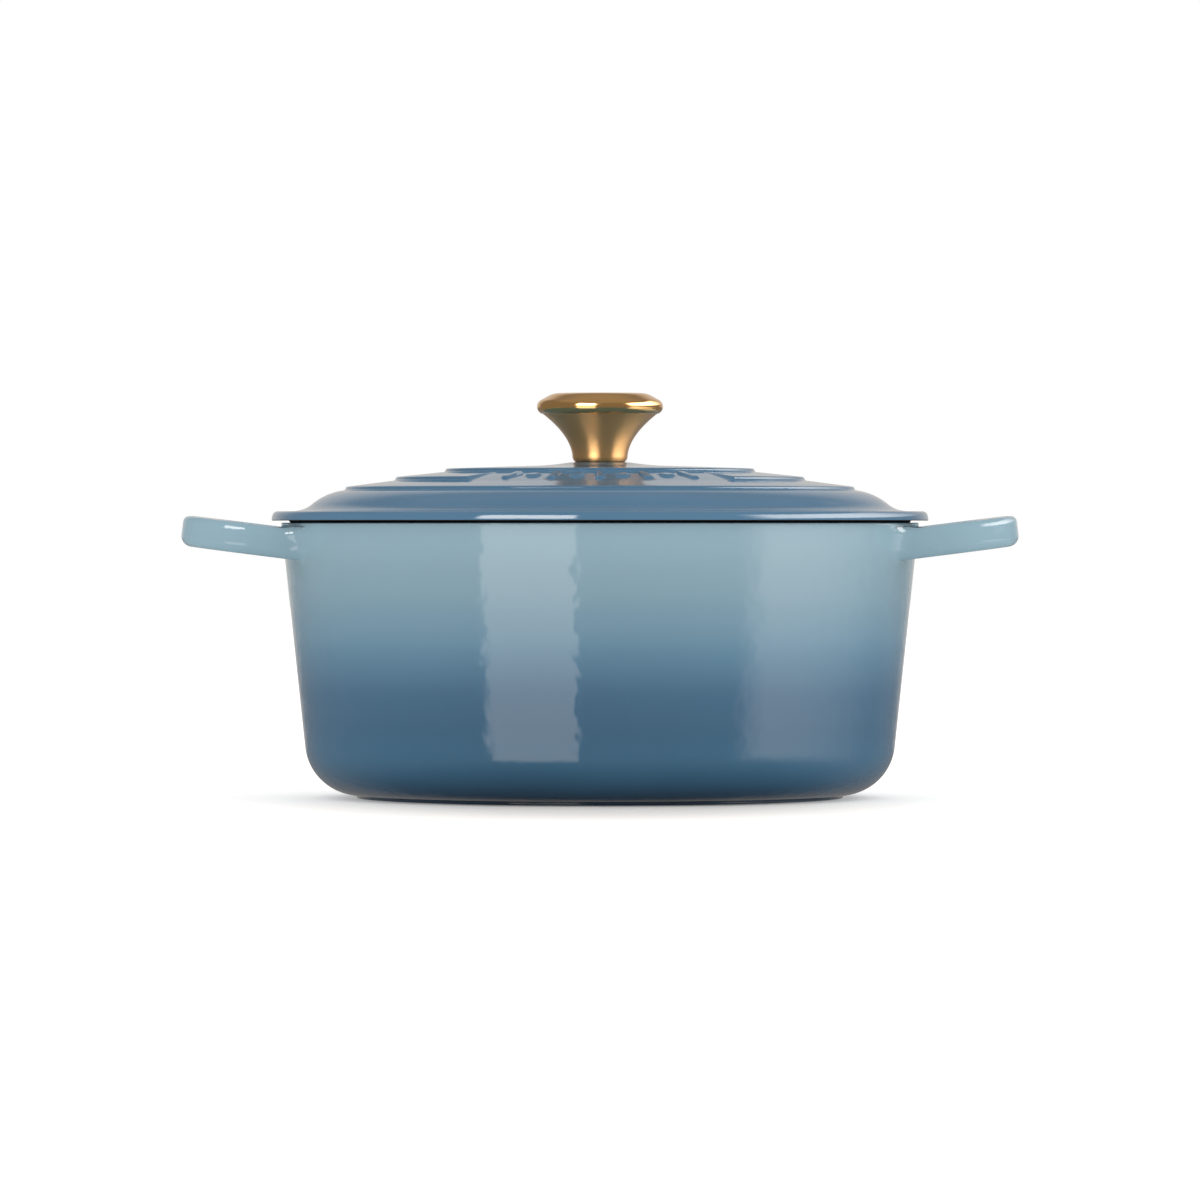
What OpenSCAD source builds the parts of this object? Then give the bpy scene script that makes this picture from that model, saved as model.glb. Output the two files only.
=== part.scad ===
// Round cast iron dutch oven with a lift-off domed lid, two loop handles and a metal lid knob.
// The pot stands on z = 0 with its centre on the Z axis. The handles point along X, the front is -Y.

/* [Pot] */
// Outer radius of the pot at its rim
rim_r = 134; // [122:0.5:146]
// Height of the rim above the surface the pot stands on
pot_h = 115.6; // [95:0.2:140]
// Draft of the outer wall from the vertical, in degrees
draft = 6.1; // [4:0.1:8]
// Wall thickness just above the base corner, coats included
wall = 3.9; // [3.4:0.1:5]
// Wall thickness at the rim, coats included
rim_w = 5.2; // [4.8:0.1:6]
// Floor thickness inside the foot, coats included
floor_t = 4.6; // [4:0.1:6]
// Radius of the rounded base corner
corner_r = 22.5; // [16:0.5:28]
// Height of the foot disc below the base corner
foot_h = 1.2; // [1:0.1:2]
// Depth of the shallow recess inside the foot
recess = 0.9; // [0.6:0.1:1.2]
// Thickness of each enamel coat
coat = 0.35; // [0.25:0.05:0.45]

/* [Handles] */
// Reach of a handle's outer face beyond the rim radius
handle_reach = 41; // [36:0.5:48]
// Radial width of the grip bar
grip_w = 14.6; // [12:0.2:16]
// Thickness of the handle loop
grip_t = 12.6; // [10:0.2:13]
// Upward tilt of the handles, in degrees
handle_tilt = 7.2; // [3:0.1:9]
// Plan radius of the loop's two corners, at the bar's centre line
loop_corner = 22; // [16:1:26]
// Half the straight length of the grip bar
bar_half = 21.5; // [18:0.5:26]

/* [Lid] */
// Overhang of the lid's flange beyond the rim
lid_over = 4; // [2:0.5:6]
// Thickness of the lid's flange
flange_t = 3.9; // [3.2:0.1:4.5]
// Gap between the rim and the underside of the flange
flange_gap = 0.9; // [0.8:0.1:2]
// Depth of the locating lip below the rim
lip_d = 6.2; // [4:0.2:9]
// Width of the lip
lip_w = 4.4; // [3.8:0.1:5.5]
// Rounding at the top edge of each ring step
step_round = 1; // [0.8:0.1:1.2]
// Half the angle of the sloping panels at the front and back of the middle ring step
panel_half = 39.5; // [32:0.5:42]
// Height of the raised pattern on the panels
relief_h = 0.9; // [0.6:0.1:1.2]
// Bars and studs in the pattern on each panel
relief_n = 9; // [5:2:9]

/* [Knob] */
// Height of the knob above the lid
knob_h = 29; // [26:0.5:32]
// Largest radius of the knob's cap
cap_r = 26.5; // [24.5:0.5:28.5]
// Radius of the knob's foot
stem_r = 10.5; // [9.5:0.1:11.5]
// Height of the seam between stem and cap above the lid
seam_h = 20.2; // [18:0.2:21]
// Radius of the fixing screw's shank
screw_r = 3; // [2.5:0.1:3]

/* [Hidden] */
$fn = 96;

iron = [0.19, 0.19, 0.20];
blue = [0.31, 0.46, 0.57];
cream = [0.86, 0.82, 0.73];
black = [0.06, 0.06, 0.07];
gold = [0.72, 0.56, 0.31];
gold_brushed = [0.60, 0.47, 0.27];
steel = [0.66, 0.67, 0.68];

// Pot walls: slopes are radius gained per unit of height
out_slope = tan(draft);
in_slope = out_slope - (rim_w - wall) / (pot_h - corner_r);
in_draft = atan(in_slope);
in_corner_r = corner_r - 2.5;
floor_z = recess + floor_t;
rim_edge = 0.5;
rim_band = pot_h - 3;

out_cz = foot_h + corner_r;
out_cr = rim_r - (pot_h - out_cz + corner_r * sin(draft)) * out_slope - corner_r * cos(draft);
in_cz = floor_z + in_corner_r;
in_cr = rim_r - rim_w - (pot_h - in_cz + in_corner_r * sin(in_draft)) * in_slope
        - in_corner_r * cos(in_draft);
foot_r = out_cr + 0.8;
foot_edge = 0.4;
recess_r = foot_r - 9;
recess_run = 4;

// Handles: the loop is drawn flat, then tilted about a line just inside the rim
handle_x = rim_r - 3;
handle_z = pot_h - 8.65;
edge_up = 2.6;
edge_low = 4.5;
half_t = grip_t / 2;
loop_out = edge_low + (rim_r + handle_reach - handle_x - edge_low
           - (half_t - edge_low) * sin(handle_tilt)) / cos(handle_tilt);
corner_u = round(100 * (loop_out - grip_w / 2)) / 100 - loop_corner;
leg_l = 44;

// Lid heights and radii, outwards from the knob
flange_z = pot_h + flange_gap;
flange_top = flange_z + flange_t;
lid_r = rim_r + lid_over;
lid_edge = 0.3;
land_r = rim_r - 3.6;
lip_z = pot_h - lip_d;
lip_r = rim_r - rim_w - 2.2;
lip_in = lip_r - lip_w;
lid_top = pot_h + 25.5;
step_r = [rim_r - 27, rim_r - 48, rim_r - 69];
step_low = [pot_h + 13.6, pot_h + 17.7, pot_h + 21.3];
step_high = [pot_h + 15.2, pot_h + 19.3, pot_h + 22.8];
pad_r = stem_r + 0.1;
panel_in = [step_r[2] + 1.2, step_low[2] - 0.07];
panel_out = [step_r[1] + 1.2, step_low[1] + 0.05];
relief_l = 13;
relief_base = 1.5;
bar_w = 3.4;
stud_r = 3;
shoulder_r = 26;
shoulder_from = 81;
shoulder_to = 50;
shoulder_cr = step_r[0] + 1.5 - shoulder_r * cos(shoulder_from);
shoulder_cz = step_low[0] - 0.1 - shoulder_r * sin(shoulder_from);
brim_fillet = 5.8;
hole_r = screw_r + 0.5;
boss_r = 13;
boss_z = lid_top - 8;
dome_r = 463;
dome_top = pot_h + 21.6;
dome_cz = dome_top - dome_r;
under_r = shoulder_r - 4.8;
lip_cut = lip_z + 2;

// Knob heights
seam_z = lid_top + seam_h;
knob_top = lid_top + knob_h;
seam_r = cap_r - 2.6;
shell = 1.5;
hub_r = 6.8;
insert_r = 4.8;
insert_l = 13;
washer_t = 1.2;
spring_t = 1.4;
head_r = 5.6;
head_t = 3.2;

function arc(cr, cz, r, a0, a1, n) =
    [for (i = [0:n]) let (a = a0 + (a1 - a0) * i / n) [cr + r * cos(a), cz + r * sin(a)]];
function bend(a, b, c, n) =
    [for (i = [0:n]) let (t = i / n) a * (1 - t) * (1 - t) + b * 2 * t * (1 - t) + c * t * t];
function shift(pts, dr, dz) = [for (p = pts) [p[0] + dr, p[1] + dz]];
function flip(pts) = [for (i = [len(pts) - 1:-1:0]) pts[i]];

// Pot outlines, t below the finished outer surfaces and t behind the finished inner ones
function out_r(z, t) = rim_r - (pot_h - z) * out_slope - t * (1 + out_slope);
function in_r(z, t) = rim_r - rim_w - (pot_h - z) * in_slope + t * (1 + in_slope);
function pot_base(t) = [[0, recess + t],
                        [recess_r - recess_run - t, recess + t],
                        [recess_r - t, t],
                        [foot_r - foot_edge - t, t],
                        [foot_r - t, foot_edge + t]];
function pot_side(t) = shift(arc(out_cr, out_cz, corner_r, -acos(0.8 / corner_r), -draft, 12), -t, t);
function rim_out(t) = [[out_r(pot_h - t - rim_edge, t), pot_h - t - rim_edge],
                       [out_r(pot_h, t) - rim_edge, pot_h - t]];
function rim_in(t) = [[in_r(pot_h, t) + rim_edge, pot_h - t],
                      [in_r(pot_h - t - rim_edge, t), pot_h - t - rim_edge]];
function pot_inside(t) = shift(arc(in_cr, in_cz, in_corner_r, -90, -in_draft, 12), t, -t);

// Lid outlines: a ring step falls from its high edge to its foot
function ring_step(i) = concat(
    arc(step_r[i] - step_round, step_high[i] - step_round, step_round, 87, 12, 4),
    [[step_r[i] + 0.25, step_low[i] + 0.5], [step_r[i] + 0.9, step_low[i]]]);
function crown() = [[hole_r, lid_top],
                    [pad_r, lid_top],
                    [pad_r + 2, lid_top - 0.15],
                    [pad_r + 7.5, lid_top - 0.9],
                    [pad_r + 14, lid_top - 1.5],
                    [pad_r + 28, lid_top - 1.9]];
function brim() =
    let (shoulder = arc(shoulder_cr, shoulder_cz, shoulder_r, shoulder_from, shoulder_to, 8),
         end = shoulder[8],
         turn = [end[0] + (end[1] - flange_top) * tan(shoulder_to), flange_top])
    concat(shoulder, [for (i = [1:4]) bend(end, turn, turn + [brim_fillet, 0], 4)[i]],
           arc(lid_r - 2, flange_top - 2, 2, 90, 0, 4));
function lid_top_pts() = concat(crown(), ring_step(2), ring_step(1), ring_step(0), brim());
function dome_pts(t) =
    [for (i = [0:10]) let (r = boss_r + 4 + (shoulder_cr - boss_r - 4) * i / 10)
        [r, dome_cz + sqrt(pow(dome_r + t, 2) - r * r)]];
function lid_under(t) = concat(
    [[hole_r, boss_z + t], [boss_r, boss_z + t]],
    dome_pts(t),
    arc(shoulder_cr, shoulder_cz, under_r + t, 80, 50, 6),
    [[lip_in + t, lip_cut + 1]]);
function lip_side(t) = [[lip_in + 0.2 + t, lip_cut],
                        [lip_in + 0.4 + t, lip_z + 0.8 + t],
                        [lip_in + 1 + t, lip_z + t],
                        [lip_r - 0.8 - t, lip_z + t],
                        [lip_r - t, lip_z + 0.8 + t],
                        [lip_r + 0.4 - t, pot_h + t],
                        [land_r - t, pot_h + t],
                        [land_r + 0.2 - t, flange_z + t],
                        [lid_r - lid_edge - t, flange_z + t]];

// Outline of the trumpet-shaped knob stem, w inside its finished surface
function stem_r_at(z) = stem_r + 1.1
    + (seam_r - stem_r - 1.1) * pow((z - lid_top - 1.8) / (seam_h - 1.8), 1.9);
function stem_side(z0, z1, w) =
    [for (i = [0:14]) let (z = z0 + (z1 - z0) * i / 14) [stem_r_at(z) - w, z]];

module revolve(pts) {
    rotate_extrude() polygon(pts);
}

// Cross-section of a handle, with its outer side towards +X
module grip_section(t) {
    w = grip_w / 2 - t;
    h = half_t - t;
    up = edge_up - t;
    low = edge_low - t;
    polygon(concat(arc(w - up, h - up, up, 0, 90, 3),
                   arc(up - w, h - up, up, 90, 180, 3),
                   arc(low - w, low - h, low, 180, 270, 4),
                   arc(w - low, low - h, low, 270, 360, 4)));
}

module handles(t) {
    for (turn = [0, 180])
        rotate([0, 0, turn]) translate([handle_x, 0, handle_z]) rotate([0, -handle_tilt, 0]) {
            translate([corner_u + loop_corner, bar_half, 0])
                rotate([90, 0, 0]) linear_extrude(height = 2 * bar_half) grip_section(t);
            for (side = [1, -1]) {
                translate([corner_u, side * bar_half, 0]) rotate([0, 0, side > 0 ? 0 : -90])
                    rotate_extrude(angle = 90) translate([loop_corner, 0]) grip_section(t);
                translate([corner_u - leg_l, side * (bar_half + loop_corner), 0])
                    rotate([90, 0, 90]) linear_extrude(height = leg_l) grip_section(t);
            }
        }
}

module pot_casting() {
    color(iron)
        difference() {
            union() {
                revolve(concat(pot_base(coat), pot_side(coat), rim_out(coat), [[0, pot_h - coat]]));
                handles(coat);
            }
            revolve(concat([[0, floor_z - coat]], pot_inside(coat), flip(rim_in(coat)),
                           [[in_r(pot_h, coat) + rim_edge, pot_h + 10], [0, pot_h + 10]]));
        }
}

module pot_outer_enamel() {
    color(blue)
        difference() {
            union() {
                revolve(concat(pot_base(0), pot_side(0), rim_out(0),
                               [rim_out(coat)[1], [0, pot_h - coat]]));
                handles(0);
            }
            revolve(concat(pot_base(coat), pot_side(coat), rim_out(coat),
                           [[rim_out(coat)[1][0], pot_h + 5], [0, pot_h + 5]]));
            handles(coat);
        }
}

module pot_inner_enamel() {
    color(cream)
        revolve(concat([[0, floor_z]], pot_inside(0),
                       [[in_r(rim_band, 0), rim_band], [in_r(rim_band, coat), rim_band]],
                       flip(pot_inside(coat)), [[0, floor_z - coat]]));
}

module pot_rim_enamel() {
    color(black)
        revolve(concat([rim_out(0)[1]], rim_in(0),
                       [[in_r(rim_band, 0), rim_band], [in_r(rim_band, coat), rim_band]],
                       flip(rim_in(coat)), [rim_out(coat)[1]]));
}

// Outline of everything from the lid's top surface, t below the finished one, down to height zb
function lid_solid_pts(t, zb) =
    let (top = shift(lid_top_pts(), -t, -t))
    concat([[hole_r, zb], [hole_r, lid_top - t]], [for (i = [1:len(top) - 1]) top[i]],
           [[lid_r - t, zb]]);

// The middle ring step slopes away at the front and back, where the lid carries its pattern
module panel_cut(t) {
    half = panel_half + t / step_r[1] * 180 / PI;
    for (side = [-90, 90])
        rotate([0, 0, side - half]) rotate_extrude(angle = 2 * half)
            polygon(concat(shift([panel_in, panel_out], -t, -t),
                           [[panel_out[0], lid_top], [panel_in[0] - t, lid_top]]));
}

// Raised bars and studs on the two sloping panels, t inside their finished faces
module relief(t) {
    fall = panel_in[1] - panel_out[1];
    run = panel_out[0] - panel_in[0];
    gap = 1.6 * panel_half / relief_n;
    for (side = [-90, 90])
        for (i = [0:relief_n - 1])
            rotate([0, 0, side + (i - (relief_n - 1) / 2) * gap])
                translate([panel_in[0] + run / 2, 0, panel_in[1] - fall / 2])
                    rotate([0, atan(fall / run), 0])
                        if (i % 2 == 0)
                            translate([t - relief_l / 2, t - bar_w / 2, -relief_base])
                                cube([relief_l - 2 * t, bar_w - 2 * t, relief_base + relief_h - t]);
                        else
                            translate([0, 0, -relief_base])
                                cylinder(r = stud_r - t, h = relief_base + relief_h - t);
}

module lid_solid(t, zb) {
    difference() {
        revolve(lid_solid_pts(t, zb));
        panel_cut(t);
    }
    relief(t);
}

module lid_casting() {
    color(iron)
        difference() {
            lid_solid(coat, lip_z - 2);
            revolve(concat([[0, lip_z - 5], [0, boss_z + coat]],
                           [for (i = [1:len(lid_under(coat)) - 1]) lid_under(coat)[i]],
                           lip_side(coat),
                           [[lid_r + 3 - coat, flange_z + lid_edge + 3 + coat],
                            [lid_r + 3 - coat, lip_z - 5]]));
        }
}

module lid_outer_enamel() {
    color(blue)
        difference() {
            lid_solid(0, flange_z + lid_edge);
            lid_solid(coat, lip_z - 2);
        }
}

module lid_inner_enamel() {
    color(cream)
        revolve(concat(lid_under(0), [lip_side(0)[0], lip_side(coat)[0]], flip(lid_under(coat))));
}

module lid_rim_enamel() {
    color(black)
        revolve(concat(lip_side(0), [[lid_r, flange_z + lid_edge], [lid_r - coat, flange_z + lid_edge],
                                     [lid_r - coat, flange_z + lid_edge + coat]],
                       flip(lip_side(coat))));
}

module knob_cap() {
    color(gold)
        revolve(concat([[0, knob_top - shell], [0, knob_top], [cap_r - 6.9, knob_top]],
                       arc(cap_r - 3.2, seam_z + 3.2, 3.2, 62, -58, 10),
                       [[seam_r, seam_z], [seam_r - shell, seam_z],
                        [seam_r - shell, seam_z + 2.2], [cap_r - 7.9, knob_top - shell]]));
}

module knob_stem() {
    low = lid_top + 4;
    lid_z = seam_z + 1;
    color(gold_brushed)
        revolve(concat([[insert_r, lid_top], [stem_r - 0.1, lid_top], [stem_r + 0.6, lid_top + 0.7]],
                       stem_side(lid_top + 1.8, seam_z, 0),
                       [[seam_r - shell, seam_z], [seam_r - shell, lid_z], [0, lid_z],
                        [0, seam_z - 0.8]],
                       flip(stem_side(low, seam_z - 0.8, 1.8)),
                       [[hub_r, low - 0.6], [hub_r, lid_top + insert_l], [insert_r, lid_top + insert_l]]));
}

module knob_insert() {
    color(steel)
        revolve([[screw_r + 0.05, lid_top], [insert_r, lid_top], [insert_r, lid_top + insert_l],
                 [screw_r + 0.05, lid_top + insert_l]]);
}

module knob_screw() {
    head_z = boss_z - washer_t - spring_t;
    color(steel)
        difference() {
            revolve(concat([[0, head_z - head_t]], arc(0, head_z - head_t + 9, 9, -84, -58, 5),
                           [[head_r, head_z - 1], [head_r, head_z], [screw_r, head_z],
                            [screw_r, lid_top + insert_l - 2.5], [screw_r - 0.8, lid_top + insert_l - 1.5],
                            [0, lid_top + insert_l - 1.5]]));
            for (turn = [0, 90])
                rotate([0, 0, turn]) translate([-2.6, -0.5, head_z - head_t - 2]) cube([5.2, 1, 4]);
        }
}

module flat_washer() {
    color(steel)
        revolve([[hole_r, boss_z - washer_t], [7.4, boss_z - washer_t], [7.4, boss_z], [hole_r, boss_z]]);
}

module spring_washer() {
    z = boss_z - washer_t - spring_t;
    color(steel)
        rotate([0, 0, 8]) rotate_extrude(angle = 344)
            polygon([[screw_r + 0.25, z], [5.3, z], [5.3, z + spring_t], [screw_r + 0.25, z + spring_t]]);
}

pot_casting();
pot_outer_enamel();
pot_inner_enamel();
pot_rim_enamel();
lid_casting();
lid_outer_enamel();
lid_inner_enamel();
lid_rim_enamel();
knob_cap();
knob_stem();
knob_insert();
knob_screw();
flat_washer();
spring_washer();
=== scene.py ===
"""Looks of a round enamelled cast iron oven with two loop handles and a lid with a metal knob.

The coats, the knob's cap and its stem are detailed meshes. Castings and fixings keep their CAD meshes.
Lengths are in millimetres until a mesh is made. The pot stands on z = 0, its handles point along X.
"""
import math

import bpy
import numpy as np
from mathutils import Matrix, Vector


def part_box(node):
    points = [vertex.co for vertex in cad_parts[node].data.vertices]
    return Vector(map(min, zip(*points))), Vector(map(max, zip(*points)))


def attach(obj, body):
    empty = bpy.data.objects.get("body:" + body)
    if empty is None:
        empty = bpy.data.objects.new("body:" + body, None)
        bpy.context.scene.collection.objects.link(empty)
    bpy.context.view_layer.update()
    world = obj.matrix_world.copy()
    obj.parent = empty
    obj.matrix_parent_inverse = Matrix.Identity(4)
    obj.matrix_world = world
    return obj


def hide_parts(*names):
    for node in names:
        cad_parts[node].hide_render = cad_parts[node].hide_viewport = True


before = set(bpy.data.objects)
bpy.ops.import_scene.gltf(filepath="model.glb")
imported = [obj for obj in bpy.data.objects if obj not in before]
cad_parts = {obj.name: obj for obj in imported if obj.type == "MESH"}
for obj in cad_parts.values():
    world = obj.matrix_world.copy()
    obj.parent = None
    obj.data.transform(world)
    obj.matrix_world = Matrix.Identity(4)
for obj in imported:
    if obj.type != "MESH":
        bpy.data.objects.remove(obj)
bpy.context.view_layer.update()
MM = 0.001


def cad_size(node, corner, axis):
    """One coordinate of a CAD node's box, in millimetres."""
    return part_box(node)[corner][axis] / MM


# Driving sizes, from the frame where it gives them
POT_H = cad_size("pot_rim_enamel", 1, 2)
HANDLE_TIP = cad_size("pot_outer_enamel", 1, 0)
LID_R = cad_size("lid_outer_enamel", 1, 0)
LID_TOP = cad_size("knob_stem", 0, 2)
KNOB_TOP = cad_size("knob_cap", 1, 2)
CAP_R = cad_size("knob_cap", 1, 0)
SEAM_Z = cad_size("knob_cap", 0, 2)
LID_OVER = 4
RIM_R = LID_R - LID_OVER
COAT = 0.35
DRAFT = math.radians(6.1)
WALL = 3.9
RIM_W = 5.2
CORNER_R = 22.5
FOOT_H = 1.2
FOOT_EDGE = 0.4
RECESS = 0.9
RECESS_RUN = 4
CENTRE_R = 3
FLOOR_T = 4.6
FLOOR_Z = RECESS + FLOOR_T
RIM_EDGE = 0.5
RIM_BAND = POT_H - 3

# Handles: a loop of rounded bar, tilted about a line just inside the rim
HANDLE_TILT = math.radians(7.2)
HANDLE_X = RIM_R - 3
HANDLE_Z = POT_H - 8.65
GRIP_W = 14.6
GRIP_T = 12.6
EDGE_UP = 2.6
EDGE_LOW = 4.5
LOOP_CORNER = 22.0
BAR_HALF = 21.5
LOOP_BLEND = 6.0
TOP_BLEND = 8.0
UNDER_BLEND = 2.0
BLEND_TOP = 7.6

# Lid
FLANGE_GAP = 0.9
FLANGE_T = 3.9
FLANGE_FLAT = 2.4
FLANGE_Z = POT_H + FLANGE_GAP
FLANGE_TOP = FLANGE_Z + FLANGE_T
LID_EDGE = 0.3
LAND_R = RIM_R - 3.6
LIP_D = 6.2
LIP_W = 4.4
LIP_Z = POT_H - LIP_D
LIP_R = RIM_R - RIM_W - 2.2
LIP_IN = LIP_R - LIP_W
STEP_R = (RIM_R - 27, RIM_R - 48, RIM_R - 69)
STEP_LOW = (POT_H + 13.6, POT_H + 17.7, POT_H + 21.3)
STEP_HIGH = (POT_H + 15.2, POT_H + 19.3, POT_H + 22.8)
STEP_ROUND = 1.0
STEP_FOOT = 1.5
STEP_FALL = (0.1, 0.08, 0.06)
PAD_R = 10.6
# The crown's points: how far outside the pad, and how far below the lid's top
CROWN = ((2, 0.15), (7.5, 0.9), (14, 1.5), (28, 1.9))
PANEL_IN = (STEP_R[2] + 1.2, STEP_LOW[2] - 0.07)
PANEL_OUT = (STEP_R[1] + 1.2, STEP_LOW[1] + 0.05)
PANEL_HALF = 39.5
RELIEF_H = 0.9
RELIEF_N = 9
RELIEF_SPAN = 1.6
RELIEF_ROUND = 0.5
RELIEF_SLOPE = 0.9
BAR_ACROSS = 1.2
BAR_ALONG = 6.0
STUD_R = 3
HOLE_R = 3.5
BOSS_R = 13
BOSS_Z = LID_TOP - 8
SHOULDER_R = 26
SHOULDER_FROM = 81
SHOULDER_TO = 50
SHOULDER = (STEP_R[0] + STEP_FOOT - SHOULDER_R * math.cos(math.radians(SHOULDER_FROM)),
            STEP_LOW[0] - STEP_FALL[0] - SHOULDER_R * math.sin(math.radians(SHOULDER_FROM)))
SHOULDER_WALL = 4.8
BRIM_FILLET = 5.8
DOME_R = 463
DOME_CZ = POT_H + 21.6 - DOME_R

# Knob
SEAM_R = CAP_R - 2.6
CAP_ROUND = 3.2
CAP_SHELL = 1.5
STEM_FOOT = 10.5
STEM_START = 1.8
STEM_WALL = 1.8
INSERT_R = 4.8
INSERT_L = 13

# Meshes: columns of a turned piece, and the angle above which an edge stays sharp, in degrees
COLUMNS = 192
SHARP_ANGLE = 40


# ---------------------------------------------------------------- outlines

def arc(centre_r, centre_z, r, a0, a1, n):
    """n + 1 points of a circular arc, angles in degrees."""
    turns = np.radians(np.linspace(a0, a1, n + 1))
    return [(centre_r + r * math.cos(a), centre_z + r * math.sin(a)) for a in turns]


def divided(points, step):
    """The same line with extra points, so that no stretch is longer than step."""
    out = [points[0]]
    for a, b in zip(points, points[1:]):
        n = max(1, math.ceil(math.dist(a, b) / step))
        out += [(a[0] + (b[0] - a[0]) * k / n, a[1] + (b[1] - a[1]) * k / n) for k in range(1, n + 1)]
    return out


def bend(a, b, c, n):
    """n + 1 points of a smooth curve from a to c that leaves and arrives in the direction of b."""
    a, b, c = Vector(a), Vector(b), Vector(c)
    shares = [k / n for k in range(n + 1)]
    return [tuple(a * (1 - t) ** 2 + b * 2 * t * (1 - t) + c * t ** 2) for t in shares]


def rounded(points, radius, n=4):
    """The same open line with its inner corners turned into small curves."""
    out = [points[0]]
    for a, b, c in zip(points, points[1:], points[2:]):
        a, b, c = Vector(a), Vector(b), Vector(c)
        reach = min(radius, (a - b).length * 0.45, (c - b).length * 0.45)
        out += bend(b + (a - b).normalized() * reach, b, b + (c - b).normalized() * reach, n)
    return out + [points[-1]]


OUT_SLOPE = math.tan(DRAFT)
IN_SLOPE = OUT_SLOPE - (RIM_W - WALL) / (POT_H - CORNER_R)
IN_DRAFT = math.atan(IN_SLOPE)
IN_CORNER_R = CORNER_R - 2.5
OUT_CZ = FOOT_H + CORNER_R
OUT_CR = (RIM_R - (POT_H - OUT_CZ + CORNER_R * math.sin(DRAFT)) * OUT_SLOPE
          - CORNER_R * math.cos(DRAFT))
IN_CZ = FLOOR_Z + IN_CORNER_R
IN_CR = (RIM_R - RIM_W - (POT_H - IN_CZ + IN_CORNER_R * math.sin(IN_DRAFT)) * IN_SLOPE
         - IN_CORNER_R * math.cos(IN_DRAFT))
FOOT_R = OUT_CR + 0.8
RECESS_R = FOOT_R - 9


def out_r(z, t=0.0):
    """Radius of the pot's outer wall at a height, t below the finished surface."""
    return RIM_R - (POT_H - z) * OUT_SLOPE - t * (1 + OUT_SLOPE)


def in_r(z, t=0.0):
    """Radius of the pot's inner wall at a height, t behind the finished surface."""
    return RIM_R - RIM_W - (POT_H - z) * IN_SLOPE + t * (1 + IN_SLOPE)


def moved(points, dr, dz):
    """The same line, moved by dr and dz."""
    return [(r + dr, z + dz) for r, z in points]


def base_corner():
    """The rounded corner between the pot's side and its foot."""
    return arc(OUT_CR, OUT_CZ, CORNER_R, -math.degrees(DRAFT), -88, 22)


def pot_outline():
    """The pot's outer face, from the rim's outer edge down to the middle of the underside."""
    rim = rounded([(out_r(POT_H) - RIM_EDGE, POT_H), (out_r(POT_H) - 0.05, POT_H - 0.25),
                   (out_r(POT_H - 1.2), POT_H - 1.2)], 0.3, 3)
    fine = divided([rim[-1], (out_r(POT_H - 24), POT_H - 24)], 0.75)
    corner = base_corner()
    coarse = divided([fine[-1], corner[0]], 3.5)
    foot = rounded([corner[-1], (FOOT_R, FOOT_H), (FOOT_R, FOOT_EDGE), (FOOT_R - FOOT_EDGE, 0),
                    (RECESS_R, 0), (RECESS_R - RECESS_RUN, RECESS), (CENTRE_R, RECESS)], 0.5, 3)
    return rim + fine[1:] + coarse[1:] + corner[1:] + divided(foot[1:], 9)


def inside_outline(t):
    """The pot's inner face from its floor to its wall, t behind the finished surface."""
    return moved(arc(IN_CR, IN_CZ, IN_CORNER_R, -90, -math.degrees(IN_DRAFT), 20), t, -t)


def ring_step(i):
    """One ring step of the lid, from its high edge down to its foot."""
    r, high, low = STEP_R[i], STEP_HIGH[i], STEP_LOW[i]
    top = arc(r - STEP_ROUND, high - STEP_ROUND, STEP_ROUND, 87, 8, 6)
    return top + bend(top[-1], (r + 0.2, low - 0.02), (r + STEP_FOOT, low - STEP_FALL[i]), 8)[1:]


def lid_outline():
    """The lid's top face from the screw hole out to the flange's edge."""
    slope = [(PAD_R + run, LID_TOP - drop) for run, drop in CROWN]
    crown = rounded([(HOLE_R, LID_TOP), (PAD_R, LID_TOP)] + slope + [ring_step(2)[0]], 5, 5)
    middle = divided([ring_step(2)[-1], ring_step(1)[0]], 0.6)
    outer = divided([ring_step(1)[-1], ring_step(0)[0]], 2)
    shoulder = arc(*SHOULDER, SHOULDER_R, SHOULDER_FROM, SHOULDER_TO, 16)
    end_r, end_z = shoulder[-1]
    turn_r = end_r + (end_z - FLANGE_TOP) * math.tan(math.radians(SHOULDER_TO))
    shelf = bend(shoulder[-1], (turn_r, FLANGE_TOP), (turn_r + BRIM_FILLET, FLANGE_TOP), 10)
    shelf.append((LID_R - FLANGE_FLAT, FLANGE_TOP))
    edge = bend(shelf[-1], (LID_R - 0.1, FLANGE_TOP - 0.1), (LID_R, FLANGE_Z + LID_EDGE), 14)
    return (divided(crown, 3) + ring_step(2)[1:] + middle[1:] + ring_step(1)[1:] + outer[1:]
            + ring_step(0)[1:] + shoulder[1:] + shelf[1:] + edge[1:])


def lid_under(t):
    """The lid's inner face from the screw hole out to the lip, t behind the finished surface."""
    dome = [(r, DOME_CZ + math.sqrt((DOME_R + t) ** 2 - r * r))
            for r in np.linspace(BOSS_R + 4, SHOULDER[0], 24)]
    boss = rounded([(HOLE_R, BOSS_Z + t), (BOSS_R, BOSS_Z + t), dome[0]], 1.2)
    knuckle = arc(*SHOULDER, SHOULDER_R - SHOULDER_WALL + t, 80, SHOULDER_TO, 10)
    return boss + dome[1:] + knuckle + [(LIP_IN + t, LIP_Z + 3)]


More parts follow.
